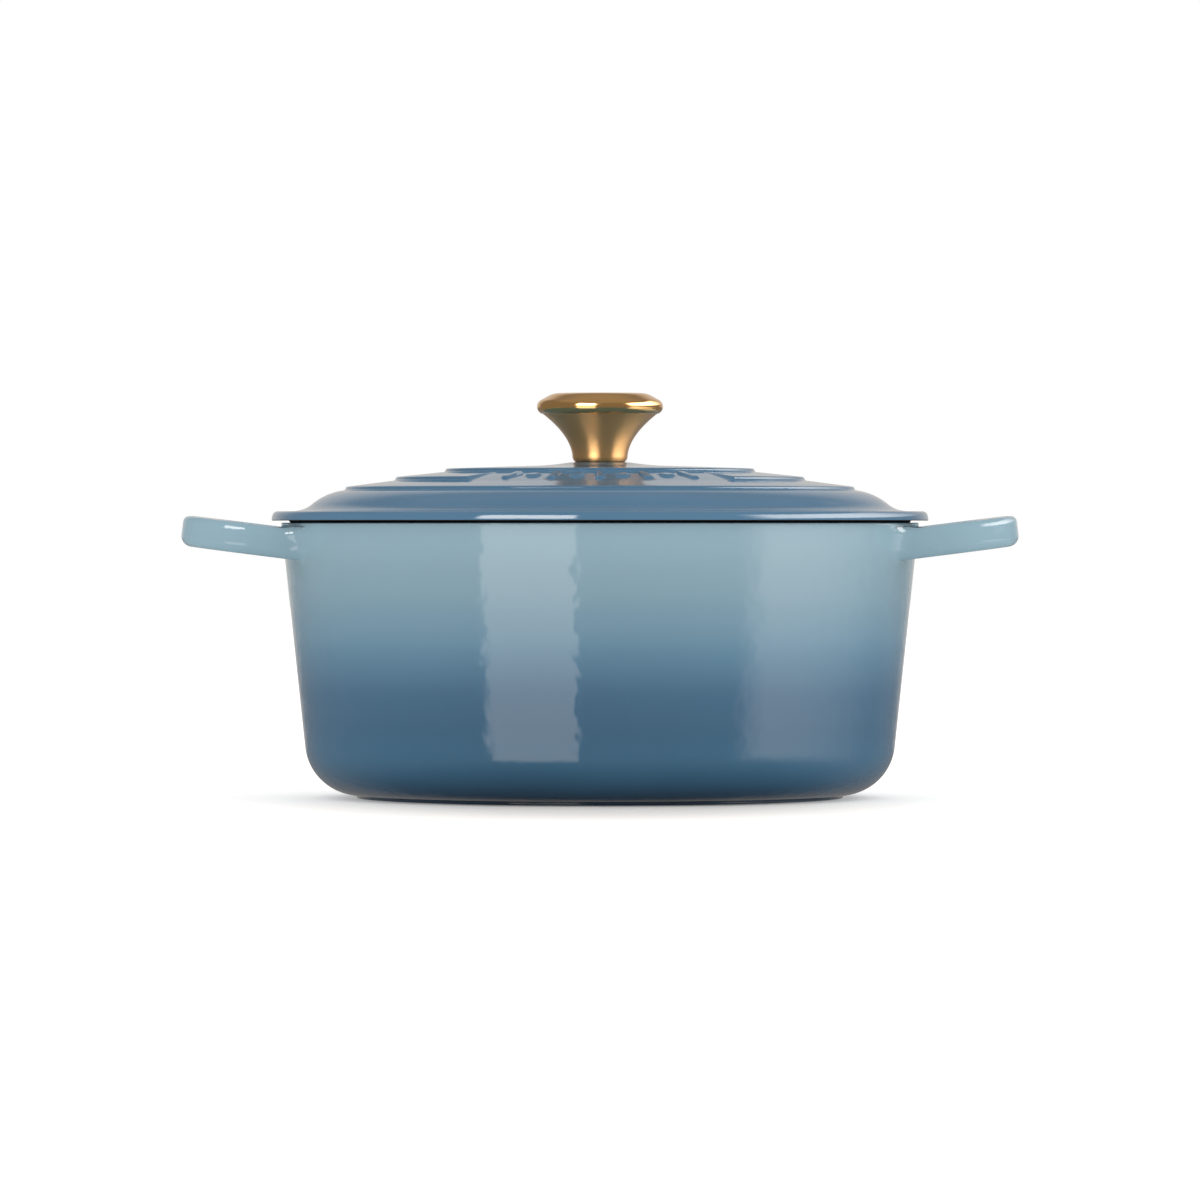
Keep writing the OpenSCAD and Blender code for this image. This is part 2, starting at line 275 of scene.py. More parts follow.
def lip_side(t):
    """The lid's black seat: lip, land and flange underside, t behind the finished surface."""
    return rounded([(LIP_IN + 0.2 + t, LIP_Z + 2), (LIP_IN + 0.4 + t, LIP_Z + t),
                    (LIP_R - 0.2 - t, LIP_Z + t), (LIP_R + 0.4 - t, POT_H + t),
                    (LAND_R - t, POT_H + t), (LAND_R + 0.2 - t, FLANGE_Z + t),
                    (LID_R - LID_EDGE - t, FLANGE_Z + t)], 0.8)


# ---------------------------------------------------------------- meshes

def make_object(name, verts, faces, material, body, replaces):
    """A piece from points in millimetres, riding on a body and standing for a CAD node."""
    mesh = bpy.data.meshes.new(name)
    mesh.from_pydata([tuple(v) for v in np.asarray(verts) * MM], [], faces)
    mesh.validate()
    mesh.shade_smooth()
    mesh.set_sharp_from_angle(angle=math.radians(SHARP_ANGLE))
    mesh.materials.append(material)
    piece = bpy.data.objects.new(name, mesh)
    bpy.context.scene.collection.objects.link(piece)
    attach(piece, body)
    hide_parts(replaces)


def ring_points(outline, turns):
    """The points of an outline turned about Z, one row for each point of the outline."""
    r, z = np.array(outline).T
    return np.stack([np.outer(r, np.cos(turns)), np.outer(r, np.sin(turns)),
                     np.outer(z, np.ones(len(turns)))], -1)


def ring_faces(rows, columns, closed):
    """Quads between the rows of a round grid whose columns close on themselves."""
    last = rows if closed else rows - 1
    i, j = np.meshgrid(np.arange(last), np.arange(columns), indexing="ij")
    i2, j2 = (i + 1) % rows, (j + 1) % columns
    quads = np.stack([i * columns + j, i2 * columns + j, i2 * columns + j2, i * columns + j2], -1)
    return quads.reshape(-1, 4)


def lathe(outline, closed):
    """Turns an outline about Z. A closed one is a ring. An open one gets a centre point at each end."""
    turns = np.linspace(0, 2 * math.pi, COLUMNS, endpoint=False)
    grid = ring_points(outline, turns)
    verts = grid.reshape(-1, 3)
    faces = ring_faces(len(outline), COLUMNS, closed).tolist()
    if not closed:
        tops = [(0, 0, outline[0][1]), (0, 0, outline[-1][1])]
        first, last = len(verts), len(verts) + 1
        verts = np.vstack([verts, tops])
        end = (len(outline) - 1) * COLUMNS
        for j in range(COLUMNS):
            k = (j + 1) % COLUMNS
            faces.append([j, k, first])
            faces.append([end + k, end + j, last])
    return verts, faces


def outward(verts, faces):
    """Turns every face round if the closed mesh is inside out."""
    v = np.asarray(verts, float)
    volume = 0.0
    for f in faces:
        a = v[f[0]]
        for k in range(1, len(f) - 1):
            volume += np.dot(a, np.cross(v[f[k]], v[f[k + 1]]))
    return [list(reversed(f)) for f in faces] if volume < 0 else faces


# ---------------------------------------------------------------- pot's outer coat with its handles

CORNER_U = (EDGE_LOW + (HANDLE_TIP - HANDLE_X - EDGE_LOW
            - (GRIP_T / 2 - EDGE_LOW) * math.sin(HANDLE_TILT)) / math.cos(HANDLE_TILT)
            - GRIP_W / 2 - LOOP_CORNER)


def loop_distance(x, y, z):
    """Distance from a handle's surface, negative inside it, and the height above its middle plane."""
    dx, dz = np.abs(x) - HANDLE_X, z - HANDLE_Z
    u = dx * math.cos(HANDLE_TILT) + dz * math.sin(HANDLE_TILT)
    w = dz * math.cos(HANDLE_TILT) - dx * math.sin(HANDLE_TILT)
    cu, cv = u - CORNER_U, np.abs(y) - BAR_HALF
    across = np.where((cu > 0) & (cv > 0), np.hypot(cu, cv), np.maximum(cu, cv)) - LOOP_CORNER
    radius = np.where(w > 0, EDGE_UP, EDGE_LOW)
    qa = np.abs(across) - GRIP_W / 2 + radius
    qw = np.abs(w) - GRIP_T / 2 + radius
    d = np.minimum(np.maximum(qa, qw), 0) + np.hypot(np.maximum(qa, 0), np.maximum(qw, 0)) - radius
    return d, w


def pot_distance(x, y, z, wall=None):
    """Distance from the wall and handles together, with a soft fillet where they meet.

    The fillet ends BLEND_TOP above the handle's middle plane, just under the rim.
    """
    if wall is None:
        wall = (np.hypot(x, y) - out_r(z)) * math.cos(DRAFT)
    loop, w = loop_distance(x, y, z)
    edge = np.clip((np.abs(w) - 1) / (GRIP_T / 2 - 1.5), 0, 1)
    target = np.where(w > 0, TOP_BLEND, UNDER_BLEND)
    blend = LOOP_BLEND + (target - LOOP_BLEND) * edge * edge * (3 - 2 * edge)
    both = np.maximum(blend - np.abs(wall - loop), 0) / blend
    soft = np.minimum(wall, loop) - both * both * blend / 4
    return np.minimum(wall, np.maximum(soft, w - BLEND_TOP))


def settle(points, steps=6):
    """Moves points along the distance's slope until they lie on the surface."""
    h = 0.02
    for _ in range(steps):
        d = pot_distance(*points.T)
        rises = [pot_distance(*(points + h * e).T) - pot_distance(*(points - h * e).T)
                 for e in np.eye(3)]
        slope = np.stack([rise / (2 * h) for rise in rises], -1)
        size = np.maximum((slope * slope).sum(-1), 0.25)
        points = points - slope * np.clip(d / size, -1.0, 1.0)[:, None]
    return points


def between(values):
    """Grid lines half-way between values, with one more beyond each end."""
    v = np.asarray(values, float)
    mid = (v[1:] + v[:-1]) / 2
    return np.concatenate([[v[0] - (mid[0] - v[0])], mid, [v[-1] + (v[-1] - mid[-1])]])


def pot_skin():
    """Surface nets over a grid that follows the pot: turn, row of the outline, and reach outwards.

    The columns are closer together where the handles are.
    """
    fine = np.arange(-33, 33.01, 0.5)
    coarse = np.linspace(33, 147, 77)[1:-1]
    columns = np.radians(np.concatenate([fine, coarse, fine + 180, coarse + 180]))
    n = len(columns)
    rows = np.array(pot_outline())
    m = len(rows)
    turn_lines = np.concatenate([[columns[0] - (columns[1] - columns[0]) / 2],
                                 (columns[1:] + columns[:-1]) / 2])
    row_lines = np.stack([between(rows[:, 0]), between(rows[:, 1])], -1)
    reach = np.arange(-1.2, 46.5, 0.8)
    level = 1

    # Distances at the grid's corners, which only the handles' neighbourhoods change
    count = (n, m + 1, len(reach))
    field = np.broadcast_to(reach * math.cos(DRAFT + HANDLE_TILT), count).copy()
    for middle in (0, math.pi):
        near = np.abs((turn_lines - middle + math.pi) % (2 * math.pi) - math.pi) < math.radians(32)
        tall = row_lines[:, 1] > POT_H - 23
        a, i = np.nonzero(near)[0], np.nonzero(tall)[0]
        radius = row_lines[i, 0][None, :, None] + reach[None, None, :] * math.cos(HANDLE_TILT)
        z = row_lines[i, 1][None, :, None] + reach[None, None, :] * math.sin(HANDLE_TILT)
        z = np.broadcast_to(z, (len(a), len(i), len(reach)))
        x = radius * np.cos(turn_lines[a])[:, None, None]
        y = radius * np.sin(turn_lines[a])[:, None, None]
        wall = np.broadcast_to(reach * math.cos(DRAFT + HANDLE_TILT), z.shape)
        field[np.ix_(a, i)] = pot_distance(x, y, z, wall)
    inside = field < 0

    # One vertex for each cell that the surface passes through
    def corner(k, i, l):
        """Whether one corner of each cell lies inside."""
        return np.roll(inside, -k, 0)[:, i:m + i, l:len(reach) - 1 + l]
    held = sum(corner(k, i, l).astype(int) for k in (0, 1) for i in (0, 1) for l in (0, 1))
    active = (held > 0) & (held < 8)
    index = -np.ones(active.shape, int)
    index[active] = np.arange(active.sum())
    c, i, l = np.nonzero(active)
    mid_reach = np.where(l == level, 0.0, (reach[l] + reach[l + 1]) / 2)
    radius = rows[i, 0] + mid_reach * math.cos(HANDLE_TILT)
    points = np.stack([radius * np.cos(columns[c]), radius * np.sin(columns[c]),
                       rows[i, 1] + mid_reach * math.sin(HANDLE_TILT)], -1)
    loop = loop_distance(*points.T)[0]
    loose = ((loop < LOOP_BLEND + 2) & (points[:, 2] < POT_H - 0.6)) | (l != level)
    points[loose] = settle(points[loose])

    # One quad for each grid edge that the surface crosses
    faces = []

    def quads(cells, first):
        """Adds quads through four cells each, turned round where first is false."""
        q = np.stack(cells, -1)
        faces.extend(np.where(first[:, None], q, q[:, ::-1]).tolist())

    k, i, l = np.nonzero(inside[:, 1:m, :-1] != inside[:, 1:m, 1:])
    i = i + 1
    prev = (k - 1) % n
    quads([index[prev, i - 1, l], index[prev, i, l], index[k, i, l], index[k, i - 1, l]],
          inside[k, i, l])
    ahead = np.roll(inside, -1, 0)
    k, i, l = np.nonzero(inside[:, 1:m, 1:-1] != ahead[:, 1:m, 1:-1])
    i, l = i + 1, l + 1
    quads([index[k, i - 1, l - 1], index[k, i - 1, l], index[k, i, l], index[k, i, l - 1]],
          inside[k, i, l])
    k, i, l = np.nonzero(inside[:, :-1, 1:-1] != inside[:, 1:, 1:-1])
    l = l + 1
    prev = (k - 1) % n
    quads([index[prev, i, l - 1], index[k, i, l - 1], index[k, i, l], index[prev, i, l]],
          inside[k, i, l])
    return points, faces, index[:, 0, level], index[:, m - 1, level], columns


def pot_outer():
    """The coat as a closed skin: its outer face with the handles, and its back against the iron."""
    points, faces, top, bottom, columns = pot_skin()
    n = len(columns)
    back = divided([(out_r(POT_H, COAT) - RIM_EDGE, POT_H - COAT),
                    (out_r(POT_H - COAT - RIM_EDGE, COAT), POT_H - COAT - RIM_EDGE)], 5)
    back += moved(base_corner(), -COAT, COAT)
    back += [(FOOT_R - COAT, COAT + FOOT_EDGE), (FOOT_R - FOOT_EDGE - COAT, COAT),
             (RECESS_R - COAT, COAT), (RECESS_R - RECESS_RUN - COAT, RECESS + COAT),
             (CENTRE_R, RECESS + COAT)]
    base = len(points)
    behind = ring_points(back, columns).reshape(-1, 3)
    centres = [(0, 0, RECESS), (0, 0, RECESS + COAT)]
    verts = np.vstack([points, behind, centres])
    faces += (ring_faces(len(back), n, False)[:, ::-1] + base).tolist()
    out_mid, in_mid = len(verts) - 2, len(verts) - 1
    end = base + (len(back) - 1) * n
    for j in range(n):
        k = (j + 1) % n
        faces.append([int(top[k]), base + k, base + j, int(top[j])])
        faces.append([int(bottom[k]), int(bottom[j]), out_mid])
        faces.append([end + j, end + k, in_mid])
    return verts, faces


# ---------------------------------------------------------------- lid's outer coat

def panel_share(turns):
    """1 inside the front and back panels, 0 outside them, with a soft end."""
    off = (np.degrees(turns) + 90) % 180
    off = np.minimum(off, 180 - off)
    t = np.clip(np.radians(PANEL_HALF - off) * STEP_R[1] + 0.5, 0, 1)
    return t * t * (3 - 2 * t)


def relief_height(turns, radius):
    """Height of the raised bars and studs over the panels, at each turn and radius."""
    side = (np.degrees(turns)[:, None] % 180) - 90
    gap = RELIEF_SPAN * PANEL_HALF / RELIEF_N
    number = np.clip(np.round(side / gap), -(RELIEF_N - 1) / 2, (RELIEF_N - 1) / 2)
    angle = np.radians(side - number * gap)
    middle = (PANEL_IN[0] + PANEL_OUT[0]) / 2
    along = radius[None, :] * np.cos(angle) - middle
    across = radius[None, :] * np.sin(angle)
    corner = np.stack([np.abs(across) - BAR_ACROSS, np.abs(along) - BAR_ALONG], -1)
    outside = np.hypot(*np.moveaxis(np.maximum(corner, 0), -1, 0))
    bar = outside + np.minimum(corner.max(-1), 0) - RELIEF_ROUND
    stud = np.hypot(along, across) - STUD_R
    edge = np.where((number + (RELIEF_N - 1) / 2) % 2 < 0.5, bar, stud)
    t = np.clip(0.5 - edge / RELIEF_SLOPE, 0, 1)
    return RELIEF_H * t * t * (3 - 2 * t)


def lid_grid(turns, drop):
    """The lid's top face as a grid, drop below the finished surface, with its two sloping panels."""
    outline = np.array(lid_outline())
    r, z = outline.T
    slope = (PANEL_OUT[1] - PANEL_IN[1]) / (PANEL_OUT[0] - PANEL_IN[0])
    held = (r > PANEL_IN[0]) & (r < PANEL_OUT[0] + 0.4) & (z > PANEL_OUT[1] - 0.2)
    path = np.concatenate([[0], np.cumsum(np.hypot(np.diff(r), np.diff(z)))])
    first, last = np.nonzero(held)[0][[0, -1]]
    share = np.clip((path - path[first]) / (path[last] - path[first]), 0, 1)
    cone_r = np.where(held, PANEL_IN[0] + (PANEL_OUT[0] - PANEL_IN[0]) * share, r)
    cone_z = np.where(held, PANEL_IN[1] + slope * (cone_r - PANEL_IN[0]), z)
    weight = panel_share(turns)[:, None] * held[None, :]
    raised = relief_height(turns, cone_r) * weight
    tilt = math.atan(-slope)
    grid_r = r + (cone_r - r) * weight + raised * math.sin(tilt) - drop
    grid_z = z + (cone_z - z) * weight + raised * math.cos(tilt) - drop
    return np.stack([grid_r * np.cos(turns)[:, None], grid_r * np.sin(turns)[:, None], grid_z], -1)


def lid_outer():
    """The coat over the lid's top as a closed skin."""
    fine = np.arange(-41, 41.01, 0.5)
    coarse = np.linspace(41, 139, 56)[1:-1]
    turns = np.radians(np.concatenate([fine - 90, coarse - 90, fine + 90, coarse + 90]))
    n = len(turns)
    top = np.moveaxis(lid_grid(turns, 0), 1, 0)
    under = np.moveaxis(lid_grid(turns, COAT), 1, 0)[::-1][4::4]
    under[-1] = ring_points([(HOLE_R, LID_TOP - COAT)], turns)[0]
    foot = ring_points([(LID_R - COAT, FLANGE_Z + LID_EDGE)], turns)
    grid = np.concatenate([top, foot, under])
    return grid.reshape(-1, 3), ring_faces(len(grid), n, True).tolist()


# ---------------------------------------------------------------- plain turned pieces

def turned(name, outline, material, body, replaces, closed=True):
    """A piece turned about Z from an outline."""
    verts, faces = lathe(outline, closed)
    return make_object(name, verts, outward(verts, faces), material, body, replaces)


def inner_coat():
    """The pot's pale inside, from its centre up to the black band."""
    front = [(0, FLOOR_Z)] + inside_outline(0) + [(in_r(RIM_BAND), RIM_BAND)]
    back = [(0, FLOOR_Z - COAT)] + inside_outline(COAT) + [(in_r(RIM_BAND, COAT), RIM_BAND)]
    return divided(front, 12)[1:] + divided(back[::-1], 12)[:-1]


def rim_coat():
    """The black band over the pot's rim."""
    front = [(out_r(POT_H) - RIM_EDGE, POT_H), (in_r(POT_H) + RIM_EDGE, POT_H),
             (in_r(POT_H - RIM_EDGE), POT_H - RIM_EDGE), (in_r(RIM_BAND), RIM_BAND)]
    back = [(in_r(RIM_BAND, COAT), RIM_BAND), (in_r(POT_H - RIM_EDGE, COAT), POT_H - RIM_EDGE - COAT),
            (in_r(POT_H, COAT) + RIM_EDGE, POT_H - COAT), (out_r(POT_H, COAT) - RIM_EDGE, POT_H - COAT)]
    return rounded(front, 0.35, 3) + back


def lid_inner_coat():
    """The pale coat under the lid's dome, as a closed ring."""
    end = [(LIP_IN + 0.2, LIP_Z + 2), (LIP_IN + 0.2 + COAT, LIP_Z + 2)]
    return lid_under(0) + end + lid_under(COAT)[::-1]


def lid_rim_coat():
    """The black coat on the lid's lip, land and flange underside, as a closed ring."""
    return (lip_side(0) + [(LID_R, FLANGE_Z + LID_EDGE), (LID_R - COAT, FLANGE_Z + LID_EDGE)]
            + lip_side(COAT)[::-1])


def stem_r(z, inset=0.0):
    """Radius of the knob's trumpet-shaped stem at a height."""
    share = (z - LID_TOP - STEM_START) / (SEAM_Z - LID_TOP - STEM_START)
    return STEM_FOOT + 1.1 + (SEAM_R - STEM_FOOT - 1.1) * max(share, 0) ** 1.9 - inset


def cap_outline():
    """The knob's cap: a flat disc with a bevel and a round edge, closed round the stem's top."""
    edge = arc(CAP_R - CAP_ROUND, SEAM_Z + 3.1, CAP_ROUND, 62, -24, 14)
    face = rounded([(0, KNOB_TOP), (CAP_R - 6.9, KNOB_TOP), edge[0]], 2.4, 8)
    lip = bend(edge[-1], (CAP_R - 1.0, SEAM_Z + 0.3), (SEAM_R, SEAM_Z), 6)
    hollow = [(SEAM_R - CAP_SHELL, SEAM_Z), (SEAM_R - CAP_SHELL, SEAM_Z + 2.2),
              (CAP_R - 7.9, KNOB_TOP - CAP_SHELL), (0, KNOB_TOP - CAP_SHELL)]
    return face + edge[1:] + lip[1:] + hollow


def stem_outline():
    """The knob's hollow stem, from the middle of its top round its outside and its hub."""
    side = [(stem_r(z), z) for z in np.linspace(SEAM_Z, LID_TOP + STEM_START, 40)]
    inner = [(stem_r(z, STEM_WALL), z) for z in np.linspace(LID_TOP + 4, SEAM_Z - 0.8, 16)]
    top = [(0, SEAM_Z + 1), (SEAM_R - CAP_SHELL, SEAM_Z + 1), (SEAM_R - CAP_SHELL, SEAM_Z)]
    foot = rounded([side[-1], (STEM_FOOT + 0.6, LID_TOP + 0.7), (STEM_FOOT - 0.1, LID_TOP),
                    (INSERT_R, LID_TOP)], 0.5)
    hub = [(INSERT_R, LID_TOP + INSERT_L), (STEM_FOOT - 3.7, LID_TOP + INSERT_L),
           (STEM_FOOT - 3.7, LID_TOP + 3.4)]
    return top + rounded([top[-1], side[0], side[1]], 0.2)[1:] + side[2:] + foot[1:] + hub + inner + [
        (0, SEAM_Z - 0.8)]


# ---------------------------------------------------------------- materials

def linear(colour):
    """Scene-linear values of an sRGB colour given as 0 to 255."""
    return [(c / 255 / 12.92) if c <= 10 else ((c / 255 + 0.055) / 1.055) ** 2.4 for c in colour] + [1.0]


def new_material(name, roughness, metallic=0.0):
    """A material and its main shader."""
    material = bpy.data.materials.new(name)
    material.use_nodes = True
    shader = material.node_tree.nodes["Principled BSDF"]
    shader.inputs["Roughness"].default_value = roughness
    shader.inputs["Metallic"].default_value = metallic
    return material, shader


def patches(material, scale, detail):
    """Soft irregular patches: a noise value around 0.5, of one scale per metre."""
    nodes, links = material.node_tree.nodes, material.node_tree.links
    place = nodes.new("ShaderNodeTexCoord")
    noise = nodes.new("ShaderNodeTexNoise")
    noise.inputs["Scale"].default_value = scale
    noise.inputs["Detail"].default_value = detail
    links.new(place.outputs["Object"], noise.inputs["Vector"])
    return noise.outputs["Fac"]


def add_bump(material, shader, scale, height, strength=1.0, detail=1.0):
    """Fine unevenness of the surface: noise of one scale per metre, as a bump of a height in metres."""
    nodes, links = material.node_tree.nodes, material.node_tree.links
    bump = nodes.new("ShaderNodeBump")
    bump.inputs["Strength"].default_value = strength
    bump.inputs["Distance"].default_value = height
    links.new(patches(material, scale, detail), bump.inputs["Height"])
    links.new(bump.outputs["Normal"], shader.inputs["Normal"])


def mottled(material, shader, dark, light, scale, detail=2.0):
    """Lets the colour drift between two close shades."""
    nodes, links = material.node_tree.nodes, material.node_tree.links
    ramp = nodes.new("ShaderNodeValToRGB")
    ramp.color_ramp.elements[0].position = 0.3
    ramp.color_ramp.elements[0].color = linear(dark)
    ramp.color_ramp.elements[1].position = 0.7
    ramp.color_ramp.elements[1].color = linear(light)
    links.new(patches(material, scale, detail), ramp.inputs["Fac"])
    links.new(ramp.outputs["Color"], shader.inputs["Base Color"])


def uneven_gloss(material, shader, low, high, scale):
    """Lets the roughness drift between two close values."""
    nodes, links = material.node_tree.nodes, material.node_tree.links
    span = nodes.new("ShaderNodeMapRange")
    span.inputs["From Min"].default_value = 0.3
    span.inputs["From Max"].default_value = 0.7
    span.inputs["To Min"].default_value = low
    span.inputs["To Max"].default_value = high
    links.new(patches(material, scale, 3.0), span.inputs["Value"])
    links.new(span.outputs["Result"], shader.inputs["Roughness"])


def height_colours(material, shader, low, high, drift, stops):
    """Colours the surface by its height: stops are (height in millimetres, sRGB colour).

    The heights wander by up to drift millimetres, as they do on sprayed enamel.
    """
    nodes, links = material.node_tree.nodes, material.node_tree.links
    place = nodes.new("ShaderNodeTexCoord")
    split = nodes.new("ShaderNodeSeparateXYZ")
    wander = nodes.new("ShaderNodeMath")
    wander.operation = "MULTIPLY_ADD"
    wander.inputs[1].default_value = 4 * drift * MM
    links.new(patches(material, 14, 2.0), wander.inputs[0])
    links.new(split.outputs["Z"], wander.inputs[2])
    scale = nodes.new("ShaderNodeMapRange")
    scale.inputs["From Min"].default_value = (low + 2 * drift) * MM
    scale.inputs["From Max"].default_value = (high + 2 * drift) * MM
    ramp = nodes.new("ShaderNodeValToRGB")
    ramp.color_ramp.interpolation = "CARDINAL"
    for k, (height, colour) in enumerate(stops):
        at = (height - low) / (high - low)
        stop = ramp.color_ramp.elements[k] if k < 2 else ramp.color_ramp.elements.new(at)
        stop.position = at
        stop.color = linear(colour)
    links.new(place.outputs["Object"], split.inputs["Vector"])
    links.new(wander.outputs["Value"], scale.inputs["Value"])
    links.new(scale.outputs["Result"], ramp.inputs["Fac"])
    links.new(ramp.outputs["Color"], shader.inputs["Base Color"])


def pot_blue():
    """Glossy enamel that runs from pale blue at the rim to deep blue at the foot; the darkest blue right
    at the foot is partly painted shade where the pot meets the floor.
    """
    material, shader = new_material("pot_blue_enamel", 0.07)
    # The stop at height 0 is darker partly as painted shade of the floor contact; the rest of the run is
    # the enamel's own shading from pale to deep.
    height_colours(material, shader, 0, POT_H, 1.2, [
        (0, (46, 72, 96)), (POT_H, (145, 175, 189)), (16, (63, 102, 129)), (33, (67, 103, 130)),
        (49, (78, 113, 139)), (66, (104, 139, 160)), (83, (125, 155, 171)), (100, (137, 166, 179))])
    add_bump(material, shader, 130, 0.0004, 0.45)
    return material


def lid_blue():
    """Glossy enamel of one deep blue."""
    material, shader = new_material("lid_blue_enamel", 0.07)
    mottled(material, shader, (81, 118, 146), (85, 122, 150), 18)
    add_bump(material, shader, 110, 0.0003, 0.2)
    return material


def cream():
    """Glossy pale enamel."""
    material, shader = new_material("cream_enamel", 0.09)
    mottled(material, shader, (231, 221, 199), (234, 224, 203), 45)
    add_bump(material, shader, 110, 0.0003, 0.15)
    return material


def matt_black():
    """Matt black enamel with a fine grain."""
    material, shader = new_material("black_enamel", 0.5)
    mottled(material, shader, (23, 24, 28), (30, 31, 35), 300, 3.0)
    add_bump(material, shader, 2600, 0.0001, 0.5, 3.0)
    return material


def polished_gold():
    """Polished gold-coloured metal."""
    material, shader = new_material("polished_gold", 0.12, 1.0)
    shader.inputs["Base Color"].default_value = linear((240, 190, 124))
    uneven_gloss(material, shader, 0.1, 0.14, 160)
    return material


def brushed_gold():
    """Turned metal: its fine grooves run round the stem and stretch highlights along it."""
    material, shader = new_material("brushed_gold", 0.37, 0.85)
    shader.inputs["Base Color"].default_value = linear((234, 182, 122))
    shader.inputs["Anisotropic"].default_value = 0.9
    shader.inputs["Anisotropic Rotation"].default_value = 0.25
    nodes, links = material.node_tree.nodes, material.node_tree.links
    around = nodes.new("ShaderNodeTangent")
    around.direction_type = "RADIAL"
    around.axis = "Z"
    links.new(around.outputs["Tangent"], shader.inputs["Tangent"])
    place = nodes.new("ShaderNodeTexCoord")
    stretch = nodes.new("ShaderNodeMapping")
    stretch.inputs["Scale"].default_value = (60, 60, 9000)
    noise = nodes.new("ShaderNodeTexNoise")
    noise.inputs["Scale"].default_value = 1.0
    noise.inputs["Detail"].default_value = 2.0
    bump = nodes.new("ShaderNodeBump")
    bump.inputs["Strength"].default_value = 0.25
    bump.inputs["Distance"].default_value = 0.00006
    links.new(place.outputs["Object"], stretch.inputs["Vector"])
    links.new(stretch.outputs["Vector"], noise.inputs["Vector"])
    links.new(noise.outputs["Fac"], bump.inputs["Height"])
    links.new(bump.outputs["Normal"], shader.inputs["Normal"])
    return material


def iron():
    """Bare cast iron with a rough grain."""
    material, shader = new_material("bare_cast_iron", 0.62, 0.5)
    mottled(material, shader, (68, 68, 71), (80, 80, 83), 120, 3.0)
    add_bump(material, shader, 1500, 0.0002, 0.6, 4.0)
    return material


def steel():
    """Plain steel of the fixings."""
    material, shader = new_material("plain_steel", 0.28, 1.0)
    shader.inputs["Base Color"].default_value = linear((198, 199, 201))
    uneven_gloss(material, shader, 0.24, 0.34, 400)
    return material


# ---------------------------------------------------------------- object

def dress_cad(material, *names):
    """Gives a new material to CAD nodes that keep their own mesh."""
    for name in names:
        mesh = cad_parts[name].data
        mesh.materials.clear()
        mesh.materials.append(material)


def build_pot():
    """The pot's three coats. Returns the two materials that the lid shares."""
    verts, faces = pot_outer()
    make_object("pot_outer_coat", verts, outward(verts, faces), pot_blue(), "pot",
                "pot_outer_enamel")
    pale, black = cream(), matt_black()
    turned("pot_inner_coat", inner_coat(), pale, "pot", "pot_inner_enamel", closed=False)
    turned("pot_rim_coat", rim_coat(), black, "pot", "pot_rim_enamel")
    return pale, black


def build_lid(pale, black):
    """The lid's three coats."""
    verts, faces = lid_outer()
    make_object("lid_outer_coat", verts, outward(verts, faces), lid_blue(), "lid",
                "lid_outer_enamel")
    turned("lid_inner_coat", lid_inner_coat(), pale, "lid", "lid_inner_enamel")
    turned("lid_rim_coat", lid_rim_coat(), black, "lid", "lid_rim_enamel")


def build_knob():
    """The knob's cap and stem."""
    turned("knob_top_cap", cap_outline()[1:-1], polished_gold(), "lid", "knob_cap",
           closed=False)
    turned("knob_trumpet_stem", stem_outline()[1:-1], brushed_gold(), "lid", "knob_stem",
           closed=False)


# ---------------------------------------------------------------- stage, light and camera

def math_node(tree, operation, a, b=None):
    """A math node whose inputs are sockets or plain numbers."""
    node = tree.nodes.new("ShaderNodeMath")
    node.operation = operation
    for socket, value in zip(node.inputs, (a, b)):
        if isinstance(value, bpy.types.NodeSocket):
            tree.links.new(value, socket)
        elif value is not None:
            socket.default_value = value
    return node.outputs["Value"]


def smooth_step(tree, value, start, end):
    """0 where the value is before start, 1 where it is past end."""
    node = tree.nodes.new("ShaderNodeMapRange")
    node.interpolation_type = "SMOOTHSTEP"
    tree.links.new(value, node.inputs["Value"])
    node.inputs["From Min"].default_value = start
    node.inputs["From Max"].default_value = end
    return node.outputs["Result"]


def window(tree, value, start, start_soft, end, end_soft):
    """1 between two values, 0 outside them, with soft ends."""
    rise = smooth_step(tree, value, start - start_soft / 2, start + start_soft / 2)
    fall = smooth_step(tree, value, end - end_soft / 2, end + end_soft / 2)
    return math_node(tree, "MULTIPLY", rise, math_node(tree, "SUBTRACT", 1.0, fall))


def build_floor():
    """Pale floor with painted light: it glows everywhere but least in an oval just in front of the pot,
    a painted shadow falling forward, so that elsewhere it melts into the white.
    """
    mesh = bpy.data.meshes.new("floor")
    mesh.from_pydata([(-8, -8, 0), (8, -8, 0), (8, 8, 0), (-8, 8, 0)], [], [(0, 1, 2, 3)])
    material, shader = new_material("floor_white", 0.9)
    shader.inputs["Base Color"].default_value = (0.83, 0.8, 0.77, 1)
    shader.inputs["Emission Color"].default_value = (1, 1, 1, 1)
    shader.inputs["Specular IOR Level"].default_value = 0.0
    tree = material.node_tree
    place = tree.nodes.new("ShaderNodeTexCoord")
    squeezed = tree.nodes.new("ShaderNodeVectorMath")
    squeezed.operation = "MULTIPLY"
    squeezed.inputs[1].default_value = (1.1, 0.7, 1)
    tree.links.new(place.outputs["Object"], squeezed.inputs[0])
    painted_shadow_distance = tree.nodes.new("ShaderNodeVectorMath")
    painted_shadow_distance.operation = "DISTANCE"
    painted_shadow_distance.inputs[1].default_value = (0, -0.084, 0)
    tree.links.new(squeezed.outputs["Vector"], painted_shadow_distance.inputs[0])
    # Painted light: the floor's glow, weakest in an oval just in front of the pot, which paints the
    # pot's shadow there.
    painted_glow = math_node(tree, "MULTIPLY", smooth_step(tree, painted_shadow_distance.outputs["Value"], 0.04, 0.18), 0.41)
    tree.links.new(math_node(tree, "ADD", painted_glow, 0.03), shader.inputs["Emission Strength"])
    mesh.materials.append(material)
    floor = bpy.data.objects.new("floor", mesh)
    bpy.context.scene.collection.objects.link(floor)
    floor.visible_glossy = False


